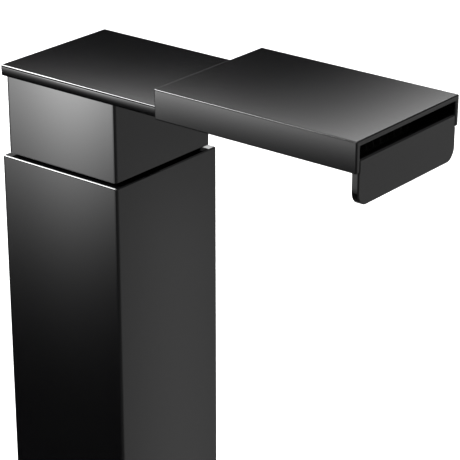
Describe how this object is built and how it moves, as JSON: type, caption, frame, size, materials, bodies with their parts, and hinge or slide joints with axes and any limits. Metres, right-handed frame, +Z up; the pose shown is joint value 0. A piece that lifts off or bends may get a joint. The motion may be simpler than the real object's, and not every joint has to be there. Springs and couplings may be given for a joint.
{
  "type": "bathroom mixer faucet",
  "caption": "Tall square basin mixer with a flat swivelling sheet spout, a waterfall hood with a turned-down tongue, and a side lever that mixes and opens the water.",
  "frame": {"origin": "centre of the face on the column's foot that rests on the deck", "axes": "+Z up along the column, -Y along the spout towards the basin, +X towards the lever"},
  "size_m": [0.0687, 0.1423, 0.3495],
  "materials": {
    "finish": "satin black lacquer on brass and sheet steel",
    "brass": "raw machined brass",
    "steel": "bright stainless steel",
    "rubber": "black EPDM rubber",
    "plastic": "white acetal",
    "ceramic": "polished white ceramic",
    "cap": "gloss black plastic"
  },
  "bodies": {
    "column": {"column_shell": "finish", "base_plate": "steel", "base_seal": "rubber", "base_screws": "steel", "back_screws": "finish", "valve_body": "brass", "threaded_shank": "brass", "deck_washer": "rubber", "clamp_washer": "steel", "back_nut": "brass", "cartridge_base": "plastic", "cartridge_seals": "rubber", "fixed_disc": "ceramic", "cartridge_housing": "plastic", "cartridge_nut": "brass", "bonnet": "finish", "riser_tube": "steel", "riser_seals": "rubber", "swivel_post": "brass", "post_screws": "steel", "swivel_rings": "rubber", "slip_ring": "plastic", "stop_pin": "steel"},
    "spout": {"neck_block": "finish", "neck_lock_screw": "finish", "inlet_gasket": "rubber", "spout_plate": "finish", "duct_floor": "steel", "neck_screws": "steel", "spout_hood": "finish", "hood_seal": "rubber", "hood_screws": "steel", "flow_straightener": "plastic"},
    "rotor": {"mixer_rotor": "plastic", "pivot_pin": "steel"},
    "slider": {"moving_disc": "ceramic", "disc_carrier": "plastic"},
    "lever": {"control_stem": "steel", "lever_dome": "finish", "lever_handle": "finish", "handle_screw": "steel", "index_cap": "cap"}
  },
  "joints": [
    {"name": "spout_swivel", "type": "hinge", "parent": "column", "child": "spout", "pos_m": [0, 0, 0.262], "axis": [0, 0, 1], "range_deg": [-60, 60]},
    {"name": "mix_turn", "type": "hinge", "parent": "column", "child": "rotor", "pos_m": [0.024, 0, 0.058], "axis": [1, 0, 0], "range_deg": [-45, 45]},
    {"name": "flow_tilt", "type": "hinge", "parent": "rotor", "child": "lever", "pos_m": [0.024, 0, 0.058], "axis": [0, 1, 0], "range_deg": [0, 22]},
    {"name": "disc_slide", "type": "slide", "parent": "rotor", "child": "slider", "axis": [0, 0, 1], "range_m": [0, 0.00473]}
  ],
  "couplings": [
    {"joint": "disc_slide", "follows": "flow_tilt", "m_per_rad": 0.012195}
  ]
}
